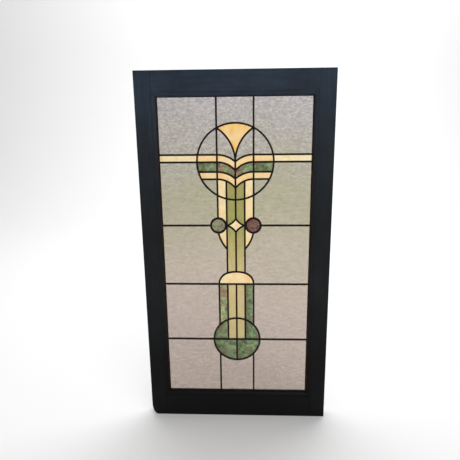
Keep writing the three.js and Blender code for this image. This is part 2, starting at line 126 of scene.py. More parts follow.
def movedSide(a, b, side, layer):
    by = side["keeps"][layer]
    if "radius" in side:
        turn = (a[0] - side["x"]) * (b[1] - side["z"]) - (a[1] - side["z"]) * (b[0] - side["x"])
        return {**side, "radius": side["radius"] - by if turn > 0 else side["radius"] + by}
    along = Vector((b[0] - a[0], b[1] - a[1])).normalized()
    return {"x": a[0] - along.y * by, "z": a[1] + along.x * by, "along": along}


def crossings(a, b):
    if "along" in a and "along" in b:
        det = a["along"].cross(b["along"])
        t = Vector((b["x"] - a["x"], b["z"] - a["z"])).cross(b["along"]) / det
        return [Vector((a["x"], a["z"])) + a["along"] * t]
    if "along" in b:
        return crossings(b, a)
    toB = Vector((b["x"] - a["x"], b["z"] - a["z"]))
    if "along" in a:
        along = a["along"]
        foot = Vector((a["x"], a["z"])) + along * toB.dot(along)
    else:
        gap = toB.length
        toA = (gap * gap + a["radius"] ** 2 - b["radius"] ** 2) / (2 * gap)
        foot = Vector((a["x"], a["z"])) + toB * (toA / gap)
        along = Vector((-toB.y, toB.x)) / gap
    square = b["radius"] ** 2 - (foot.x - b["x"]) ** 2 - (foot.y - b["z"]) ** 2
    reach = math.sqrt(max(0.0, square))  # arcs that run smoothly into each other only touch
    return [foot + along * reach, foot - along * reach]


def arcPoints(centre, start, sweep):
    count = max(2, math.ceil(abs(sweep) * centre["radius"] / drawing["arcStep"]))
    turns = [start + sweep * i / count for i in range(count)]
    return [
        (centre["x"] + centre["radius"] * math.cos(t), centre["z"] + centre["radius"] * math.sin(t))
        for t in turns
    ]


def outlineOf(pane, layer):  # a pane's corners are (corner, side to the next corner), anticlockwise
    if isinstance(pane, dict):
        return arcPoints({**pane, "radius": pane["radius"] - pane["keeps"][layer]}, 0, math.tau)
    ends = [corner for corner, side in pane[1:] + pane[:1]]
    used = [(c, end, side) for (c, side), end in zip(pane, ends) if layer in side["keeps"]]
    sides = [movedSide(c, end, side, layer) for c, end, side in used]
    corners = [
        min(crossings(sides[i - 1], sides[i]), key=lambda p: (p - Vector(used[i][0])).length)
        for i in range(len(used))
    ]
    points = []
    for i, corner in enumerate(corners):
        side = sides[i]
        if "along" in side:
            points.append(tuple(corner))
            continue
        end = corners[(i + 1) % len(corners)]
        start = math.atan2(corner.y - side["z"], corner.x - side["x"])
        sweep = math.atan2(end.y - side["z"], end.x - side["x"]) - start
        points += arcPoints(side, start, math.atan2(math.sin(sweep), math.cos(sweep)))
    return points


def other(point):
    return (-point[0], point[1])


def flipped(side):
    return {**side, "x": -side["x"]} if "radius" in side else side


def mirrored(pane):
    if isinstance(pane, dict):
        return flipped(pane)
    return [(other(pane[-i][0]), flipped(pane[-i - 1][1])) for i in range(len(pane))]


def withSides(pane):  # a corner that stands alone starts a straight lead
    if isinstance(pane, dict):
        return pane
    return [corner if isinstance(corner[1], dict) else (corner, straight) for corner in pane]


def kindOf(name):
    first = name.split("_")[0]
    return {"green": "mottled", "roundel": "mottled"}.get(first, first)


def drawPanes():  # every pane as name, kind of glass, outline sides and the solid that it stands for
    d = drawing
    column = -d["columnHalf"]
    strip = -d["stripHalf"]
    barTop = rimTop - d["panelReach"] - d["topPaneHeight"]
    barBottom = barTop - d["barHeight"]
    greenBottom = barBottom - d["greenBandHeight"]
    bandBottom = greenBottom - d["lowerBandHeight"]
    low = rimBottom + d["panelReach"] + d["footPaneHeight"]
    rowHeight = (barBottom - low - d["upperRowExtra"]) / 3
    domeZ = low + rowHeight
    roundelZ = domeZ + rowHeight
    big = arc(0, barBottom, d["bigCircleRadius"])
    small = arc(0, low, d["lowCircleRadius"])
    roundel = arc(strip - d["roundelGap"] - d["roundelRadius"], roundelZ, d["roundelRadius"], ring)
    shoulderRadius = d["domeShoulderRadius"]
    domeShoulder = arc(column + shoulderRadius, domeZ, shoulderRadius)
    domeAtStrip = (strip, upperAt(domeShoulder, strip))
    crownRadius = shoulderRadius * d["stripHalf"] / (domeShoulder["x"] + d["stripHalf"])
    domeCrown = arc(0, domeAtStrip[1] - math.sqrt(crownRadius**2 - strip**2), crownRadius)

    lines = []  # the four band lines: at the circle, at the outer upright, their bend, at the middle
    for level, drop in zip((barTop, barBottom, greenBottom, bandBottom), d["bendDrops"]):
        radius = (column**2 + drop**2) / (2 * drop)
        bend = arc(column, level - radius, radius)
        lines.append(((leftAt(big, level), level), (column, level), bend, (0, level - drop)))
    head, foot, greenFoot, bandFoot = lines
    shoulder = (column, upperAt(big, column))
    hip = (column, lowerAt(big, column))
    bigAtStrip = (strip, lowerAt(big, strip))
    bigFoot = (0, lowerAt(big, 0))
    fan = bow(shoulder, head[3], d["fanSag"])
    bandAtStrip = (strip, upperAt(bandFoot[2], strip))
    roundelTop = (column, upperAt(roundel, column))
    roundelLeft = (roundel["x"] - roundel["radius"], roundelZ)
    roundelFoot = (roundel["x"], roundelZ - roundel["radius"])
    nibX = roundel["x"] + math.sqrt(roundel["radius"] ** 2 - d["nibReach"] ** 2)
    nibTop, nibBottom = roundelZ + d["nibReach"], roundelZ - d["nibReach"]
    diamondSide = (strip, roundelZ)
    diamondTop = (0, roundelZ + d["diamondHalfHeight"])
    diamondFoot = (0, roundelZ - d["diamondHalfHeight"])
    diamondUpper = bow(diamondTop, diamondSide, d["diamondSag"])
    diamondLower = bow(diamondSide, diamondFoot, d["diamondSag"])
    tailEnd = (strip, roundelZ - d["tailDrop"])
    tail = bow(tailEnd, roundelFoot, d["tailSag"])
    domeSide = (column, domeZ)
    domeTop = (0, domeCrown["z"] + crownRadius)
    smallShoulder = (column, upperAt(small, column))
    smallAtStrip = (strip, upperAt(small, strip))
    smallTop, smallFoot = (0, upperAt(small, 0)), (0, lowerAt(small, 0))
    smallLeft = (-small["radius"], low)
    smallHip = (column, lowerAt(small, column))

    def levelPane(above, below):
        return [below[0], below[1], above[1], (above[0], big)]

    def bentPane(above, below):
        return [(below[1], below[2]), below[3], (above[3], above[2]), above[1]]

    halves = {
        "clear_top_corner": [
            (rimLeft, barTop), (head[0], big), shoulder, ((column, rimTop), edge),
            ((rimLeft, rimTop), edge),
        ],
        "clear_circle_shoulder": [head[0], head[1], (shoulder, big)],
        "clear_fan_side": [(head[1], head[2]), (head[3], fan), shoulder],
        "amber_bar_outer": [(rimLeft, barBottom), (foot[0], big), head[0], ((rimLeft, barTop), edge)],
        "amber_bar_inner": levelPane(head, foot),
        "amber_bar_bend": bentPane(head, foot),
        "green_band": levelPane(foot, greenFoot),
        "green_band_bend": bentPane(foot, greenFoot),
        "amber_band": levelPane(greenFoot, bandFoot),
        "amber_band_bend": bentPane(greenFoot, bandFoot),
        "clear_circle_hip": [hip, bandFoot[1], (bandFoot[0], big)],
        "clear_upper_middle": [
            (rimLeft, roundelZ), (roundelLeft, roundel), roundelTop, (hip, big),
            foot[0], ((rimLeft, barBottom), edge),
        ],
        "roundel": roundel,
        "amber_column_head": [(hip, big), bigAtStrip, (bandAtStrip, bandFoot[2]), bandFoot[1]],
        "amber_column_shaft": [
            (roundelTop, roundel), ((nibX, nibTop), nipped), (strip, nibTop), (bigAtStrip, big), hip,
        ],
        "amber_tail": [
            tailEnd, ((strip, nibBottom), nipped), ((nibX, nibBottom), roundel), (roundelFoot, tail),
        ],
        "olive_strip_head": [(bigAtStrip, big), bigFoot, (bandFoot[3], bandFoot[2]), bandAtStrip],
        "olive_strip_middle": [(diamondSide, diamondUpper), diamondTop, (bigFoot, big), bigAtStrip],
        "olive_strip_lower": [
            (domeAtStrip, domeCrown), domeTop, (diamondFoot, diamondLower), diamondSide,
        ],
        "clear_middle": [
            (rimLeft, domeZ), (domeSide, domeShoulder), domeAtStrip, (tailEnd, tail),
            (roundelFoot, roundel), roundelLeft, ((rimLeft, roundelZ), edge),
        ],
        "clear_lower_middle": [
            (rimLeft, low), (smallLeft, small), smallShoulder, domeSide, ((rimLeft, domeZ), edge),
        ],
        "green_shoulder": [smallLeft, (strip, low), (smallAtStrip, small)],
        "green_strip": [(smallShoulder, small), smallAtStrip, (strip, domeZ), domeSide],
        "straw_strip_foot": [(strip, low), (0, low), (smallTop, small), smallAtStrip],
        "straw_strip": [(smallAtStrip, small), smallTop, (0, domeZ), (strip, domeZ)],
        "green_foot_quarter": [smallFoot, (0, low), (smallLeft, small)],
        "clear_bottom_corner": [
            ((rimLeft, rimBottom), edge), (column, rimBottom), (smallHip, small), smallLeft,
            ((rimLeft, low), edge),
        ],
    }
    middle = {
        "clear_top_middle": [
            (shoulder, big), other(shoulder), ((-column, rimTop), edge), (column, rimTop),
        ],
        "amber_fan": [(head[3], flipped(fan)), (other(shoulder), big), (shoulder, fan)],
        "amber_diamond": [
            (diamondFoot, flipped(diamondLower)), (other(diamondSide), flipped(diamondUpper)),
            (diamondTop, diamondUpper), (diamondSide, diamondLower),
        ],
        "amber_dome": [
            domeSide, (other(domeSide), flipped(domeShoulder)), (other(domeAtStrip), domeCrown),
            (domeAtStrip, domeShoulder),
        ],
        "clear_bottom_middle": [
            ((column, rimBottom), edge), (-column, rimBottom), (other(smallHip), small), smallHip,
        ],
    }
    standsFor = {
        "amber_column_head": "amber_column", "amber_column_shaft": "amber_column",
        "olive_strip_head": "olive_strip_upper", "olive_strip_middle": "olive_strip_upper",
        "green_shoulder": "green_shoulder_strip", "green_strip": "green_shoulder_strip",
        "straw_strip_foot": "straw_strip",
    }
    panes = [(name, kindOf(name), withSides(pane), name) for name, pane in middle.items()]
    for name, corners in halves.items():
        node, kind, pane = standsFor.get(name, name), kindOf(name), withSides(corners)
        panes.append((name + "_left", kind, pane, node + "_left"))
        rightKind = "plum" if name == "roundel" else kind
        panes.append((name + "_right", rightKind, mirrored(pane), node + "_right"))
    return panes


# Small helpers for materials
def setInputs(node, values):
    for name, value in values.items():
        node.inputs[name].default_value = value


def newMaterial(name, looks):
    material = bpy.data.materials.new(name)
    material.use_nodes = True
    tree = material.node_tree
    shader = tree.nodes["Principled BSDF"]
    setInputs(shader, looks)
    return material, tree, shader


def objectPlace(tree, scale=(1, 1, 1)):
    place = tree.nodes.new("ShaderNodeTexCoord")
    mapping = tree.nodes.new("ShaderNodeMapping")
    setInputs(mapping, {"Scale": scale})
    tree.links.new(place.outputs["Object"], mapping.inputs["Vector"])
    return mapping.outputs["Vector"]


def noiseOf(tree, place, scale, detail=2.0, roughness=0.5):
    node = tree.nodes.new("ShaderNodeTexNoise")
    setInputs(node, {"Scale": scale, "Detail": detail, "Roughness": roughness})
    tree.links.new(place, node.inputs["Vector"])
    return node.outputs["Fac"]


def axisOf(tree, place, axis):
    node = tree.nodes.new("ShaderNodeSeparateXYZ")
    tree.links.new(place, node.inputs["Vector"])
    return node.outputs[axis]


def rangeOf(tree, value, start=(0.0, 1.0), end=(0.0, 1.0), clamp=True):  # one range turned into another
    node = tree.nodes.new("ShaderNodeMapRange")
    node.clamp = clamp
    setInputs(node, {"From Min": start[0], "From Max": start[1], "To Min": end[0], "To Max": end[1]})
    tree.links.new(value, node.inputs["Value"])
    return node.outputs["Result"]


def rampOf(tree, fac, stops):  # stops are (place, colour)
    node = tree.nodes.new("ShaderNodeValToRGB")
    elements = node.color_ramp.elements
    while len(elements) < len(stops):
        elements.new(0.5)
    for element, (place, colour) in zip(elements, stops):
        element.position = place
        element.color = (*colour, 1)
    tree.links.new(fac, node.inputs["Fac"])
    return node.outputs["Color"]


def greyRamp(tree, fac, stops):  # stops are (place, brightness)
    return rampOf(tree, fac, [(place, (grey,) * 3) for place, grey in stops])


def mixOf(tree, fac, a, b, blend="MIX"):
    node = tree.nodes.new("ShaderNodeMix")
    node.data_type = "RGBA"
    node.blend_type = blend
    for value, name in ((fac, 0), (a, 6), (b, 7)):
        socket = node.inputs[name]
        if isinstance(value, bpy.types.NodeSocket):
            tree.links.new(value, socket)
        else:
            socket.default_value = value if isinstance(value, float) else (*value, 1)
    return node.outputs[2]


def multiplied(tree, colour, tint):
    return mixOf(tree, 1.0, colour, tint, "MULTIPLY")


def bumpOf(tree, shader, height, strength, distance, before=None):
    node = tree.nodes.new("ShaderNodeBump")
    setInputs(node, {"Strength": strength, "Distance": distance})
    tree.links.new(height, node.inputs["Height"])
    if before:
        tree.links.new(before, node.inputs["Normal"])
    tree.links.new(node.outputs["Normal"], shader.inputs["Normal"])
    return node.outputs["Normal"]


def srgb(red, green, blue):  # the linear colour of one given in 0 to 255
    return tuple(
        c / 12.92 if c <= 0.04045 else ((c + 0.055) / 1.055) ** 2.4
        for c in (red / 255, green / 255, blue / 255)
    )


# Small helpers for meshes
def newPiece(name, points, faces, materials, smoothBelow=40):
    mesh = bpy.data.meshes.new(name)
    mesh.from_pydata(points, [], faces)
    work = bmesh.new()
    work.from_mesh(mesh)
    bmesh.ops.remove_doubles(work, verts=work.verts, dist=0.002 * mm)
    bmesh.ops.recalc_face_normals(work, faces=work.faces)
    work.to_mesh(mesh)
    work.free()
    for material in materials:
        mesh.materials.append(material)
    return placePiece(name, mesh, smoothBelow)


def placePiece(name, mesh, smoothBelow):
    mesh.polygons.foreach_set("use_smooth", [True] * len(mesh.polygons))
    mesh.set_sharp_from_angle(angle=math.radians(smoothBelow))
    piece = bpy.data.objects.new(name, mesh)
    bpy.context.scene.collection.objects.link(piece)
    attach(piece, "root")
    return piece


def triangulated(outlines, loose, keep):  # flat triangles of the area that lies in just these outlines
    points = [Vector(p) for outline in outlines for p in outline] + [Vector(p) for p in loose]
    loops = []
    for outline in outlines:
        first = sum(len(loop) for loop in loops)
        loops.append(list(range(first, first + len(outline))))
    made, _, faces, _, _, homes = geometry.delaunay_2d_cdt(points, [], loops, 0, 1e-4)
    kept = [tuple(f) for f, home in zip(faces, homes) if sorted(home) == keep]
    used = sorted({i for f in kept for i in f})
    place = {old: new for new, old in enumerate(used)}
    return [made[i] for i in used], [tuple(place[i] for i in f) for f in kept]


def openEdges(faces):  # the edges that only one face has, as that face runs
    seen = {(f[i - 1], f[i]) for f in faces for i in range(len(f))}
    return sorted((a, b) for a, b in seen if (b, a) not in seen)


def pointsInside(outline, spacing):  # rows of points, each row half a step off the one below
    ends = list(zip(outline, outline[1:] + outline[:1]))
    bottom = min(p[1] for p in outline)
    rows = int((max(p[1] for p in outline) - bottom) / spacing)
    points = []
    for row in range(rows):
        z = bottom + spacing * (row + 0.5)
        cut = [(a, b) for a, b in ends if (a[1] > z) != (b[1] > z)]
        crossed = sorted(a[0] + (z - a[1]) * (b[0] - a[0]) / (b[1] - a[1]) for a, b in cut)
        for left, right in zip(crossed[::2], crossed[1::2]):
            count = int((right - left) / spacing)
            for i in range(1, count):
                points.append((left + (right - left) * (i + 0.5 * (row % 2)) / (count + 0.5), z))
    return points


# The kinds of glass: the mm between a face's points, its relief in mm, and how its colours drift and cloud
evenSheet = {
    "grid": 4.0, "grain": 0.03, "ripple": 0.1,
    "colourDrift": (30.0, 0.1), "cloud": (60.0, 3.0, 0.6), "cloudDepth": 0.06,
}
wildSheet = {
    "roughness": 0.26, "through": 0.92, "grid": 3.5, "grain": 0.05, "ripple": 0.14,
    "colourDrift": (75.0, 0.22), "cloud": (130.0, 3.0, 0.6), "cloudDepth": 0.26,
}
glassKinds = {
    "clear": {"roughness": 0.12, "through": 1.0, "grid": 2.5, "grain": 0.12, "ripple": 0.08},
    "amber": {**evenSheet, "roughness": 0.36, "through": 0.89, "veil": 0.06},
    "olive": {**evenSheet, "roughness": 0.3, "through": 0.91},
    "straw": {**evenSheet, "roughness": 0.3, "through": 0.92, "veil": 0.02},
    "mottled": wildSheet,
    "plum": {**wildSheet, "grid": 3.0},
}
blotches = {  # tint, the noise's span and scale, the band that a patch grows in, how strong at most
    "amber": (
        ((1.0, 0.8, 0.48), (1.2, 1, 0.8), 52.0, (0.5, 0.63), 0.75),
        ((1.03, 1.14, 1.5), (0.8, 1, 1.1), 44.0, (0.5, 0.63), 0.75),
    ),
    "olive": (
        ((0.8, 0.86, 0.64), (1.4, 1, 0.6), 60.0, (0.5, 0.62), 0.8),
        ((1.14, 1.1, 1.3), (1.2, 1, 0.7), 52.0, (0.52, 0.64), 0.75),
    ),
    "straw": (
        ((0.9, 0.84, 0.74), (1.4, 1, 0.6), 58.0, (0.5, 0.62), 0.75),
    ),
    "mottled": (
        ((1.12, 0.56, 0.66), (1.2, 1, 0.8), 52.0, (0.5, 0.6), 0.75),
        ((1.24, 1.7, 1.32), (0.8, 1, 1.2), 58.0, (0.5, 0.6), 0.85),
        ((0.36, 0.42, 0.38), (1.1, 1, 1), 66.0, (0.52, 0.62), 0.85),
    ),
    "plum": (
        ((1.4, 2.0, 1.1), (1.2, 1, 0.8), 96.0, (0.5, 0.6), 0.85),
        ((0.42, 0.3, 0.75), (0.8, 1, 1.2), 80.0, (0.5, 0.6), 0.85),
    ),
}
glassTones = {
    "cream": (245, 225, 175),
    "honey": (245, 210, 145),
    "amber": (245, 200, 110),
    "gold": (245, 190, 80),
    "olive": (160, 155, 90),
    "straw": (205, 185, 130),
    "moss": (105, 115, 80),
    "sage": (125, 140, 105),
    "celadon": (160, 170, 125),
    "rust": (145, 130, 105),
    "plum": (115, 75, 70),
}
paneTones = {  # the tones that a kind of glass, or one pane, runs through from low to high along an axis
    "amber": ("x", "honey", "honey"),
    "olive": ("z", "olive", "olive"),
    "straw": ("z", "straw", "straw"),
    "mottled": ("x", "moss", "sage"),
    "plum": ("z", "plum", "plum"),
    "amber_fan": ("z", "gold", "honey", "amber"),
    "amber_bar_outer": ("x", "cream", "cream"),
    "amber_column_head": ("z", "cream", "cream"),
    "amber_column_shaft": ("z", "honey", "cream"),
    "amber_tail": ("z", "honey", "cream"),
    "amber_diamond": ("z", "cream", "cream"),
    "amber_dome": ("x", "cream", "honey"),
    "olive_strip_lower": ("z", "straw", "olive"),
    "green_band_bend": ("x", "rust", "sage"),
    "roundel_left": ("z", "sage", "rust"),
    "green_strip_left": ("z", "celadon", "rust"),
}
# painted reflection: the shades of the surroundings seen through the clear glass, painted in as its tint
clearPaintedViewTones = (  # low to high: beige, sage, lilac grey
    (185, 170, 160), (185, 170, 160), (170, 165, 140), (180, 175, 175))


def rampBetween(tree, fac, colours):
    last = len(colours) - 1
    return rampOf(tree, fac, [(i / last, srgb(*c)) for i, c in enumerate(colours)])


noiseMiddle = (0.25, 0.75)  # where most of a noise's values lie


def wandering(tree, place, axis, low, high, drift):  # 0 to 1 between two places, pushed about by a noise
    scale, reach = drift
    share = rangeOf(tree, axisOf(tree, place, axis), (low, high), clamp=False)
    push = rangeOf(tree, noiseOf(tree, place, scale), noiseMiddle, (-reach, reach))
    total = tree.nodes.new("ShaderNodeMath")
    tree.links.new(share, total.inputs[0])
    tree.links.new(push, total.inputs[1])
    return total.outputs["Value"]


def glassMaterial(name, kind):
    look = glassKinds[kind]
    clarity = {"Transmission Weight": look["through"], "IOR": 1.45}
    return newMaterial(name, {"Roughness": look["roughness"], **clarity})


clearSheet = {  # a noise is its scale, detail and roughness, a drift its noise's scale and its reach
    "heightDrift": (5.0, 0.08),
    "grainSpan": (0.8, 1, 1.3),
    "grain": (130.0, 3.0, 0.8),
    "speckle": ((0.3, (0.66, 0.66, 0.67)), (0.5, (0.96, 0.96, 0.96)), (0.7, (1.34, 1.34, 1.34))),
    "coarse": ((0.1, 0.6), (0.3, 0.4), (0.7, 0.4), (0.84, 1.0)),  # how much speckle shows, low to high
    "streakSpan": (1, 1, 3.5),
    "streakNoise": (34.0, 2.0),
    "streaks": ((0.3, 0.93), (0.7, 1.06)),
    "bump": (0.5, 0.6 * mm),
}


def clearGlassMaterial():
    sheet = clearSheet
    material, tree, shader = glassMaterial("clearGlass", "clear")
    place = objectPlace(tree)
    height = wandering(tree, place, "Z", netLow.z, netHigh.z, sheet["heightDrift"])
    # the tint by height is the painted view of the surroundings behind the glass, not its own colour
    tint = rampBetween(tree, height, clearPaintedViewTones)
    grain = noiseOf(tree, objectPlace(tree, sheet["grainSpan"]), *sheet["grain"])
    coarse = greyRamp(tree, height, sheet["coarse"])
    speckle = mixOf(tree, coarse, (1, 1, 1), rampOf(tree, grain, sheet["speckle"]))
    streakNoise = noiseOf(tree, objectPlace(tree, sheet["streakSpan"]), *sheet["streakNoise"])
    speckle = multiplied(tree, speckle, greyRamp(tree, streakNoise, sheet["streaks"]))
    tree.links.new(multiplied(tree, tint, speckle), shader.inputs["Base Color"])
    bumpOf(tree, shader, grain, *sheet["bump"])
    return material


artSheet = {
    "blotch": (3.0, 0.55),
    "veil": (1.0, 0.98, 0.94),
    "cloudBand": (0.3, 0.52, 0.72),
    "cloudLift": 0.7,
    "dimples": (110.0, 2.0),
    "bump": (0.15, 1 * mm),
}


def artGlassMaterial(name, kind, low, high):
    look = glassKinds[kind]
    material, tree, shader = glassMaterial(name + "Glass", kind)
    place = objectPlace(tree)
    base = name.removesuffix("_left").removesuffix("_right")
    axis, *tones = paneTones.get(name) or paneTones.get(base) or paneTones[kind]
    start, end = (low[0], high[0]) if axis == "x" else (low[1], high[1])
    share = wandering(tree, place, axis.upper(), start * mm, end * mm, look["colourDrift"])
    colour = rampBetween(tree, share, [glassTones[tone] for tone in tones])
    for tint, span, scale, (none, full), most in blotches[kind]:
        spots = noiseOf(tree, objectPlace(tree, span), scale, *artSheet["blotch"])
        mask = greyRamp(tree, spots, [(none, 0.0), (full, most)])
        colour = mixOf(tree, mask, colour, multiplied(tree, colour, tint))
    if "veil" in look:
        colour = mixOf(tree, look["veil"], colour, artSheet["veil"])
    darker, brighter = 1 - look["cloudDepth"], 1 + look["cloudDepth"] * artSheet["cloudLift"]
    shades = list(zip(artSheet["cloudBand"], (darker, 1.0, brighter)))
    cloudy = greyRamp(tree, noiseOf(tree, place, *look["cloud"]), shades)
    tree.links.new(multiplied(tree, colour, cloudy), shader.inputs["Base Color"])
    bumpOf(tree, shader, noiseOf(tree, place, *artSheet["dimples"]), *artSheet["bump"])
    return material


relief = {
    "grainScale": 0.35,  # per mm
    "rippleScale": 0.07,
    "frontSkin": 0.14,  # mm that the faces keep in from the solid's, for the relief
    "backSkin": 0.06,
    "backShare": 0.4,  # of the front's ripple
    "seeds": 97,
}


def reliefAt(p, scale, seed):
    return noise.noise(Vector((p.x * scale, p.y * scale, seed)))


def makePane(name, kind, pane, node, material):
    look = glassKinds[kind]
    outline = outlineOf(pane, "glass")
    spacing = look["grid"] * 1
    points, faces = triangulated([outline], pointsInside(outline, spacing), [0])
    rim = openEdges(faces)
    onRim = {i for pair in rim for i in pair}
    seed = sum(ord(letter) * (i + 1) for i, letter in enumerate(name)) % relief["seeds"]
    front, back = [], []
    for i, p in enumerate(points):
        lift, sink = 0.0, 0.0
        if i not in onRim:
            wave = look["ripple"] * reliefAt(p, relief["rippleScale"], seed + 9)
            lift = look["grain"] * reliefAt(p, relief["grainScale"], seed) + wave
            sink = relief["backShare"] * wave
        front.append((p.x * mm, glassLow.y + (relief["frontSkin"] - lift) * mm, p.y * mm))
        back.append((p.x * mm, glassHigh.y - (relief["backSkin"] + sink) * mm, p.y * mm))
    count = len(points)
    shell = faces + [tuple(i + count for i in f[::-1]) for f in faces]
    shell += [(b, a, a + count, b + count) for a, b in rim]
    piece = newPiece(name + "_pane", front + back, shell, [material])
    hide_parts(node)


panes = drawPanes()
clearGlass = clearGlassMaterial()
for name, kind, pane, node in panes:
    outline = outlineOf(pane, "sight")
    low = [min(p[i] for p in outline) for i in (0, 1)]
    high = [max(p[i] for p in outline) for i in (0, 1)]
    glass = clearGlass if kind == "clear" else artGlassMaterial(name, kind, low, high)
    makePane(name, kind, pane, node, glass)
print("glass:", len(panes), "panes")


# The lead: came with a domed flange front and back and a heart between, soldered where lines meet
lead = {  # lengths in mm, and noise scales per mm
    "channel": 0.3,  # from the glass to the flange
    "edge": 0.4,  # the flange's thickness at its edge
    "crown": 1.4,  # and at its crown
    "flat": 0.9,  # and in the border came
    "flatSlope": 2.2,  # in which the border came thins towards the glass
    "doming": 1.3,  # 1 is an ellipse, more is flatter at the edge
    "rimClear": (8.6, 12.5),  # from the panel's rim, where the domes flatten to pass the sash
    "solderRise": 0.3,
    "solderReach": 6.5,
    "solderFall": 1.5,
    "wobble": 0.09,
    "wobbleScale": 0.16,
    "drift": 0.22,  # how far the lines wander from true
    "driftScale": 0.03,
    "driftFrom": (4.0, 20.0),  # from the panel's rim
    "step": 2.6,  # between the points along a lead
    "offsets": (0.0, 1.1, 2.1),  # of its rows of points from its centre line
    "borderRows": (1.2, 2.6),  # of points in the border came, from its sight line
    "borderStep": 1.6,  # of a lead's step
}
metal = {
    "dark": (17, 9, 6),
    "pale": (42, 27, 21),
    "solder": (40, 34, 31),
    "patinaRoughness": 0.42,
    "solderRoughness": 0.34,
    "roughnessSpread": (-0.12, 0.15),
    "specular": 0.16,
    "stain": (70.0, 4.0, 0.6),  # a noise is its scale, detail and roughness
    "stainBand": (0.42, 0.78),
    "dulling": (160.0, 3.0),
    "pits": (450.0, 3.0),
    "bump": (0.3, 0.5 * mm),
    "solderFrom": 0.35,  # of the solder's rise, where its own metal starts
    "solderRagged": 0.25,
    "raggedScale": 0.5,
    "smoothBelow": 50,
}


def leadMaterial(name, pale, roughness):
    material, tree, shader = newMaterial(name, {"Specular IOR Level": metal["specular"]})
    place = objectPlace(tree)
    stops = zip(metal["stainBand"], (srgb(*metal["dark"]), srgb(*pale)))
    stained = rampOf(tree, noiseOf(tree, place, *metal["stain"]), list(stops))
    tree.links.new(stained, shader.inputs["Base Color"])
    spread = [roughness + by for by in metal["roughnessSpread"]]
    dulled = rangeOf(tree, noiseOf(tree, place, *metal["dulling"]), end=spread)
    tree.links.new(dulled, shader.inputs["Roughness"])
    bumpOf(tree, shader, noiseOf(tree, place, *metal["pits"]), *metal["bump"])
    return material


def leadLines():  # each lead's centre line once, as start, end and side
    lines = {}
    for name, _, pane, _ in panes:
        if isinstance(pane, dict):
            lines[name] = (None, None, pane)
            continue
        for i, (a, side) in enumerate(pane):
            b = pane[(i + 1) % len(pane)][0]
            if side["keeps"] in (border, nib):
                continue
            key = tuple(sorted((round(x, 1), round(z, 1)) for x, z in (a, b)))
            lines[key + ("radius" in side,)] = (a, b, side)
    return list(lines.values())


def arcSpan(a, b, side):
    if a is None:
        return 0.0, math.tau
    start = math.atan2(a[1] - side["z"], a[0] - side["x"])
    sweep = math.atan2(b[1] - side["z"], b[0] - side["x"]) - start
    return start, math.atan2(math.sin(sweep), math.cos(sweep))


def linePoints(a, b, side, step):  # points along a lead, with the way across it
    if "radius" not in side:
        count = max(1, round(math.dist(a, b) / step))
        across = Vector((a[1] - b[1], b[0] - a[0])).normalized()
        return [(Vector(a).lerp(Vector(b), i / count), across) for i in range(count + 1)]
    start, sweep = arcSpan(a, b, side)
    count = max(2, round(abs(sweep) * side["radius"] / step))
    ways = [Vector((math.cos(start + sweep * i / count), math.sin(start + sweep * i / count)))
            for i in range(count + 1)]
    return [(Vector((side["x"], side["z"])) + way * side["radius"], way) for way in ways]


def lineDistance(xz, a, b, side):  # of many points from a lead's centre line, as a share of its half width
    if "radius" not in side:
        start = np.array(a)
        way = np.array(b) - start
        share = np.clip((xz - start) @ way / (way @ way), 0, 1)
        return np.linalg.norm(xz - start - share[:, None] * way, axis=1) / side["keeps"]["sight"]
    start, sweep = arcSpan(a, b, side)
    out = xz - np.array((side["x"], side["z"]))
    turn = np.arctan2(out[:, 1], out[:, 0]) - (start + sweep / 2)
    turn = np.abs(np.arctan2(np.sin(turn), np.cos(turn)))
    away = np.abs(np.linalg.norm(out, axis=1) - side["radius"])
    if a is not None:
        ends = [np.linalg.norm(xz - np.array(p), axis=1) for p in (a, b)]
        away = np.where(turn <= abs(sweep) / 2, away, np.minimum(*ends))
    return away / side["keeps"]["sight"]


def smoothStep(value, low, high):
    share = np.clip((value - low) / (high - low), 0, 1)
    return share * share * (3 - 2 * share)


def rimDistance(xz):
    sides = (xz[:, 0] - rimLeft, rimRight - xz[:, 0], xz[:, 1] - rimBottom, rimTop - xz[:, 1])
    return np.minimum.reduce(sides)


def noiseAt(xz, scale, level):
    return np.array([noise.noise(Vector((x * scale, z * scale, level))) for x, z in xz])


def domedShare(xz):  # 0 where the leads pass under the sash, 1 inside
    return smoothStep(rimDistance(xz), *lead["rimClear"])


def solderAt(xz, joints):  # 1 at a joint, 0 out of its reach
    blob = np.zeros(len(xz))
    for joint in joints:
        away = np.linalg.norm(xz - np.array(joint), axis=1) / lead["solderReach"]
        blob = np.maximum(blob, np.clip(1 - away**2, 0, 1) ** lead["solderFall"])
    return blob


def leadHeights(xz, lines, joints):  # the flange's thickness at many points
    near = np.minimum.reduce([lineDistance(xz, *line) for line in lines])
    dome = np.sqrt(np.clip(1 - near**2, 0, 1)) ** lead["doming"]
    rise = (lead["crown"] - lead["edge"]) * dome + lead["solderRise"] * solderAt(xz, joints)
    rise = rise + lead["wobble"] * noiseAt(xz, lead["wobbleScale"], 3.0)
    pastSight = smoothStep(border["sight"] - rimDistance(xz), 0, lead["flatSlope"])
    flat = lead["edge"] + (lead["flat"] - lead["edge"]) * pastSight
    return np.maximum(lead["edge"] + rise * domedShare(xz), flat)


def drifted(xz):  # the small wandering of hand-laid leads
    shift = np.stack([noiseAt(xz, lead["driftScale"], level) for level in (0.0, 7.0)], axis=1)
    return xz + shift * (lead["drift"] * smoothStep(rimDistance(xz), *lead["driftFrom"]))[:, None]


def rimCorners(by):  # of a loop that lies this far in from the panel's rim
    left, right, bottom, top = rimLeft + by, rimRight - by, rimBottom + by, rimTop - by
    return [(left, bottom), (right, bottom), (right, top), (left, top)]


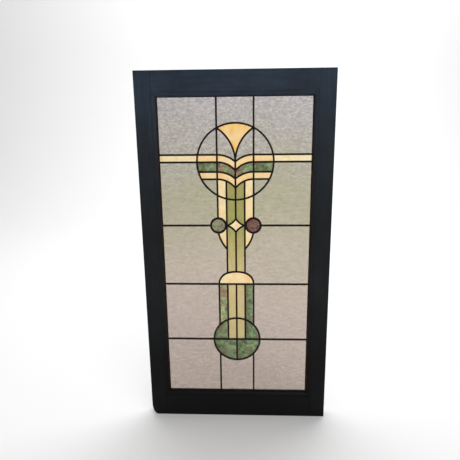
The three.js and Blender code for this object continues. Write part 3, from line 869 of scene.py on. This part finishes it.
def loosePoints(lines):  # points that give the flanges their fine faces
    step = lead["step"] * 1
    loose = []
    for line in lines:
        for p, across in linePoints(*line, step):
            loose += [p + across * by * way for by in lead["offsets"] for way in ((1, -1) if by else (1,))]
    for row in lead["borderRows"]:
        corners = rimCorners(border["sight"] - row)
        for a, b in zip(corners, corners[1:] + corners[:1]):
            loose += [p for p, _ in linePoints(a, b, straight, step * lead["borderStep"])]
    return loose


def leadShell(lines, joints):  # the net's points and faces, in mm
    sights = [outlineOf(pane, "sight") for _, _, pane, _ in panes]
    flat, faces = triangulated([rimCorners(0)] + sights, loosePoints(lines), [0])
    xz = np.array([tuple(p) for p in flat])
    heights = leadHeights(xz, lines, joints)
    frontFoot = glassLow.y / mm - lead["channel"]
    backFoot = glassHigh.y / mm + lead["channel"]
    points, shell = [], []

    def add(places, ys, polygons):
        first = len(points)
        points.extend(zip(places[:, 0], ys, places[:, 1]))
        shell.extend(tuple(i + first for i in f) for f in polygons)

    def pair(places, front, back, polygons):  # one row of points in front and one behind
        add(np.concatenate([places, places]), np.concatenate([front, back]), polygons)

    count = len(xz)
    moved = drifted(xz)
    front, back = np.full(count, frontFoot), np.full(count, backFoot)
    atRim = rimDistance(xz) < 0.01
    walls = [(b, a, a + count, b + count) for a, b in openEdges(faces)]
    outer = [wall for wall in walls if atRim[wall[0]] and atRim[wall[1]]]
    inner = [wall for wall in walls if not (atRim[wall[0]] and atRim[wall[1]])]
    pair(moved, front - heights, front, faces + inner)
    pair(moved, back + heights, back, [f[::-1] for f in faces] + inner)
    pair(moved, front - heights, back + heights, outer)
    for (_, _, pane, _), sight in zip(panes, sights):
        heart = outlineOf(pane, "heart")
        under, ringFaces = triangulated([heart, sight], [], [0])
        feet = drifted(np.array([tuple(p) for p in under]))
        add(feet, np.full(len(feet), frontFoot), [f[::-1] for f in ringFaces])
        add(feet, np.full(len(feet), backFoot), ringFaces)
        size = len(heart)
        around = [(i, (i + 1) % size, (i + 1) % size + size, i + size) for i in range(size)]
        pair(drifted(np.array(heart)), np.full(size, frontFoot), np.full(size, backFoot), around)
    return points, shell


def markSolder(mesh, joints):
    places = np.array([tuple(v.co) for v in mesh.vertices])[:, [0, 2]] / mm
    centres = np.array([places[list(p.vertices)].mean(axis=0) for p in mesh.polygons])
    ragged = metal["solderRagged"] * noiseAt(centres, metal["raggedScale"], 1.0)
    soldered = solderAt(centres, joints) * domedShare(centres) + ragged > metal["solderFrom"]
    mesh.polygons.foreach_set("material_index", soldered.astype(int).tolist())


def makeLead():
    lines = leadLines()
    joints = sorted({
        (round(corner[0], 1), round(corner[1], 1)) for _, _, pane, _ in panes if not isinstance(pane, dict)
        for corner, side in pane if side["keeps"] is not nib
    })
    metals = [
        leadMaterial("leadPatina", metal["pale"], metal["patinaRoughness"]),
        leadMaterial("solderJoint", metal["solder"], metal["solderRoughness"]),
    ]
    points, shell = leadShell(lines, joints)
    points = [(x * mm, y * mm, z * mm) for x, y, z in points]
    piece = newPiece("lead_net", points, shell, metals, metal["smoothBelow"])
    markSolder(piece.data, joints)
    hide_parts("lead_came")
    print("lead:", len(lines), "lines,", len(joints), "joints,", len(piece.data.polygons), "faces")


makeLead()


# The painted sash, its beads behind, and the wear of its edges
paint = {
    # top to foot: the lighter blue-grey top is a painted sky sheen, the darkening towards the foot is painted
    # shade
    "top": (44, 55, 69),
    "upper": (37, 42, 48),
    "middle": (26, 29, 31),
    "foot": (6, 7, 9),
    "wear": (48, 40, 35),
    "bare": (60, 31, 22),  # wood along the stiles' sight edge, where the paint has gone
    "bareWidth": 2.6 * mm,
    "bead": (34, 27, 24),
    "specular": 0.14,
    "roughness": 0.46,
    "roughnessSpread": (-0.14, 0.2),
    "toneDrift": (4.0, 0.05),
    "alongGrain": 0.06,  # how the brush marks are drawn out
    "brush": (260.0, 3.0, 0.6),  # a noise is its scale, detail and roughness
    "streaks": ((0.35, 0.88), (0.65, 1.12)),  # and a ramp's stops are a place and a brightness
    "patches": (14.0, 4.0, 0.65),
    "patchShades": ((0.3, 0.8), (0.7, 1.2)),
    "rubbing": (55.0, 4.0, 0.7),
    "rubbed": ((0.5, 0.0), (0.66, 0.7)),
    "flaking": (40.0, 3.0),
    "flaked": ((0.35, 0.35), (0.6, 0.95)),
    "pits": (600.0, 3.0),
    "pitBump": (0.1, 0.3 * mm),
    "brushBump": (0.22, 0.5 * mm),
}


def paintMaterial(name, grainWay, tones, wear, bare=False):
    material, tree, shader = newMaterial(name, {"Specular IOR Level": paint["specular"]})
    place = objectPlace(tree)
    # the ramp by height paints light into the sash: a painted sky sheen high up, painted shade low down; the
    # beads' ramp is one even brown
    height = wandering(tree, place, "Z", 0, sashTop, paint["toneDrift"])
    grow = paint["alongGrain"]
    drawn = objectPlace(tree, (grow, 1, 1) if grainWay == "X" else (1, 1, grow))
    brush = noiseOf(tree, drawn, *paint["brush"])
    patches = noiseOf(tree, place, *paint["patches"])
    colour = multiplied(tree, rampBetween(tree, height, tones), greyRamp(tree, patches, paint["patchShades"]))
    colour = multiplied(tree, colour, greyRamp(tree, brush, paint["streaks"]))
    if wear:
        rubbed = greyRamp(tree, noiseOf(tree, place, *paint["rubbing"]), paint["rubbed"])
        colour = mixOf(tree, rubbed, colour, srgb(*paint["wear"]))
    if bare:
        flaked = greyRamp(tree, noiseOf(tree, place, *paint["flaking"]), paint["flaked"])
        line = mixOf(tree, sightLine(tree, place), (0, 0, 0), flaked)
        colour = mixOf(tree, line, colour, srgb(*paint["bare"]))
    tree.links.new(colour, shader.inputs["Base Color"])
    spread = [paint["roughness"] + by for by in paint["roughnessSpread"]]
    tree.links.new(rangeOf(tree, patches, end=spread), shader.inputs["Roughness"])
    pits = bumpOf(tree, shader, noiseOf(tree, place, *paint["pits"]), *paint["pitBump"])
    bumpOf(tree, shader, brush, *paint["brushBump"], pits)
    return material


def sightLine(tree, place):  # full at the stiles' edges beside the glass, gone a little way from them
    off = tree.nodes.new("ShaderNodeMath")
    off.operation = "ABSOLUTE"
    tree.links.new(axisOf(tree, place, "X"), off.inputs[0])
    fade = (sightHalf + paint["bareWidth"], sightHalf + paint["bareWidth"] * 0.5)
    return rangeOf(tree, off.outputs["Value"], fade)


board = {
    "arris": 0.9 * mm,  # that an edge is softened
    "jointArris": 0.22 * mm,  # where paint fills a joint
    "jointNear": 0.6 * mm,
    "sharpFrom": 32,  # degrees
    "cut": 16 * mm,  # between the cuts along a board, for its unevenness
    "uneven": 0.16 * mm,
    "waves": ((34, 0.6), (120, 0.4)),  # noise scales and their shares
    "sunk": 0.7,  # keeps the unevenness inside the solid
    "smoothBelow": 38,
}


def softenEdges(work, worn):  # joints get the first material, the other edges the worn one
    sharpFrom = math.radians(board["sharpFrom"])
    sharp = [e for e in work.edges if len(e.link_faces) == 2 and e.calc_face_angle() > sharpFrom]

    def atJoint(edge):
        return all(abs(abs(v.co.x) - sightHalf) < board["jointNear"] for v in edge.verts)

    for joint, size, slot in ((False, board["arris"], worn), (True, board["jointArris"], 0)):
        edges = [e for e in sharp if e.is_valid and atJoint(e) == joint]
        made = bmesh.ops.bevel(
            work, geom=edges, offset=size, segments=3, profile=0.5, affect="EDGES", clamp_overlap=True)
        for face in made["faces"]:
            face.material_index = slot


def cutAcross(work, low, high):
    way = 2 if high.z - low.z > high.x - low.x else 0
    count = int((high[way] - low[way]) / board["cut"])
    for i in range(1, count):
        at = low.copy()
        at[way] = low[way] + (high[way] - low[way]) * i / count
        normal = Vector((0, 0, 0))
        normal[way] = 1
        everything = work.verts[:] + work.edges[:] + work.faces[:]
        bmesh.ops.bisect_plane(work, geom=everything, dist=1e-7, plane_co=at, plane_no=normal)


def makeUneven(work):
    work.normal_update()
    moves = []
    for v in work.verts:
        rough = sum(noise.noise(v.co * scale) * share for scale, share in board["waves"])
        moves.append(v.normal * (board["uneven"] * (rough - board["sunk"])))
    for v, move in zip(work.verts, moves):
        v.co += move


def makeBoard(node, materials):
    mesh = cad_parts[node].data.copy()
    mesh.materials.clear()
    for material in materials:
        mesh.materials.append(material)
    work = bmesh.new()
    work.from_mesh(mesh)
    bmesh.ops.remove_doubles(work, verts=work.verts, dist=0.001 * mm)
    bmesh.ops.dissolve_limit(work, angle_limit=math.radians(1), verts=work.verts, edges=work.edges)
    softenEdges(work, len(materials) - 1)
    cutAcross(work, *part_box(node))
    makeUneven(work)
    work.to_mesh(mesh)
    work.free()
    piece = placePiece(node + "_wood", mesh, board["smoothBelow"])
    weighted = piece.modifiers.new("evenFaces", "WEIGHTED_NORMAL")
    weighted.keep_sharp = True
    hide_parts(node)


# painted light in the sash's colour: a painted sheen at the top, painted shade towards the foot
sashSheenAndShadeTones = (paint["foot"], paint["foot"], paint["middle"], paint["middle"], paint["upper"], paint["top"])
for way, nodes in (("Z", ("left_stile", "right_stile")), ("X", ("top_rail", "bottom_rail"))):
    materials = [
        paintMaterial("sashPaint" + way, way, sashSheenAndShadeTones, False, way == "Z"),
        paintMaterial("sashEdge" + way, way, sashSheenAndShadeTones, True, way == "Z"),
    ]
    for node in nodes:
        makeBoard(node, materials)
for way, nodes in (("Z", ("bead_left", "bead_right")), ("X", ("bead_top", "bead_bottom"))):
    beadPaint = paintMaterial("beadPaint" + way, way, (paint["bead"], paint["bead"]), False)
    for node in nodes:
        makeBoard(node, [beadPaint])
print("sash: boards and beads")


# A pale floor that sweeps up behind, soft light, and the camera at the photo's place
stage = {
    "floorFront": -6.0,
    "bendStart": 2.2,
    "bendRadius": 1.6,
    "bendSteps": 16,
    "wallTop": 6.0,
    "half": 9.0,
    "paper": (0.9, 0.9, 0.9, 1),
    "daylight": 0.42,
}
lights = {
    "softFront": {"place": (0.9, -2.4, 2.8), "target": (0, 0, 0.3), "size": (2.4, 2.4), "power": 36},
    "softBack": {"place": (0.3, 1.5, 3.4), "target": (0, 2.4, 0.2), "size": (4.0, 2.4), "power": 105},
}
view = {
    "place": (0.054, -1.5505, 1.097),
    "pitch": -15.0,
    "yaw": -2.71,
    "roll": -0.75,
    "focalPixels": 493,
    "framePixels": 460,
    "sensor": 36,
}


def makeStage():
    profile = [(stage["floorFront"], 0.0), (stage["bendStart"], 0.0)]
    for i in range(1, stage["bendSteps"] + 1):
        turn = math.pi / 2 * i / stage["bendSteps"]
        back = stage["bendStart"] + stage["bendRadius"] * math.sin(turn)
        profile.append((back, stage["bendRadius"] * (1 - math.cos(turn))))
    profile.append((stage["bendStart"] + stage["bendRadius"], stage["wallTop"]))
    points = [(x, y, z) for y, z in profile for x in (-stage["half"], stage["half"])]
    faces = [(2 * i, 2 * i + 1, 2 * i + 3, 2 * i + 2) for i in range(len(profile) - 1)]
    mesh = bpy.data.meshes.new("sweep")
    mesh.from_pydata(points, [], faces)
    mesh.polygons.foreach_set("use_smooth", [True] * len(faces))
    paper = {"Base Color": stage["paper"], "Roughness": 0.9, "Specular IOR Level": 0.1}
    mesh.materials.append(newMaterial("palePaper", paper)[0])
    sweep = bpy.data.objects.new("sweep", mesh)
    bpy.context.scene.collection.objects.link(sweep)


def areaLight(name, place, target, size, power):
    light = bpy.data.lights.new(name, "AREA")
    light.shape = "RECTANGLE"
    light.size, light.size_y = size
    light.energy = power
    lamp = bpy.data.objects.new(name, light)
    lamp.location = place
    lamp.rotation_euler = (Vector(target) - Vector(place)).to_track_quat("-Z", "Y").to_euler()
    bpy.context.scene.collection.objects.link(lamp)


def makeWorld():
    world = bpy.data.worlds.new("studio")
    world.use_nodes = True
    daylight = {"Color": (1, 1, 1, 1), "Strength": stage["daylight"]}
    setInputs(world.node_tree.nodes["Background"], daylight)
    bpy.context.scene.world = world


def makeCamera():
    pitch, yaw, roll = (math.radians(view[k]) for k in ("pitch", "yaw", "roll"))
    ahead = Vector((math.sin(yaw) * math.cos(pitch), math.cos(yaw) * math.cos(pitch), math.sin(pitch)))
    right = Vector((math.cos(yaw), -math.sin(yaw), 0))
    up = right.cross(ahead)
    side = math.cos(roll) * right + math.sin(roll) * up
    top = math.cos(roll) * up - math.sin(roll) * right
    data = bpy.data.cameras.new("camera")
    data.sensor_width = view["sensor"]
    data.lens = data.sensor_width * view["focalPixels"] / view["framePixels"]
    camera = bpy.data.objects.new("camera", data)
    turn = Matrix((side, top, -ahead)).transposed().to_4x4()
    camera.matrix_world = Matrix.Translation(view["place"]) @ turn
    bpy.context.scene.collection.objects.link(camera)
    bpy.context.scene.camera = camera


makeStage()
for name, light in lights.items():
    areaLight(name, **light)
makeWorld()
makeCamera()
bpy.context.scene.view_settings.view_transform = "Standard"
print("stage, lights and camera")
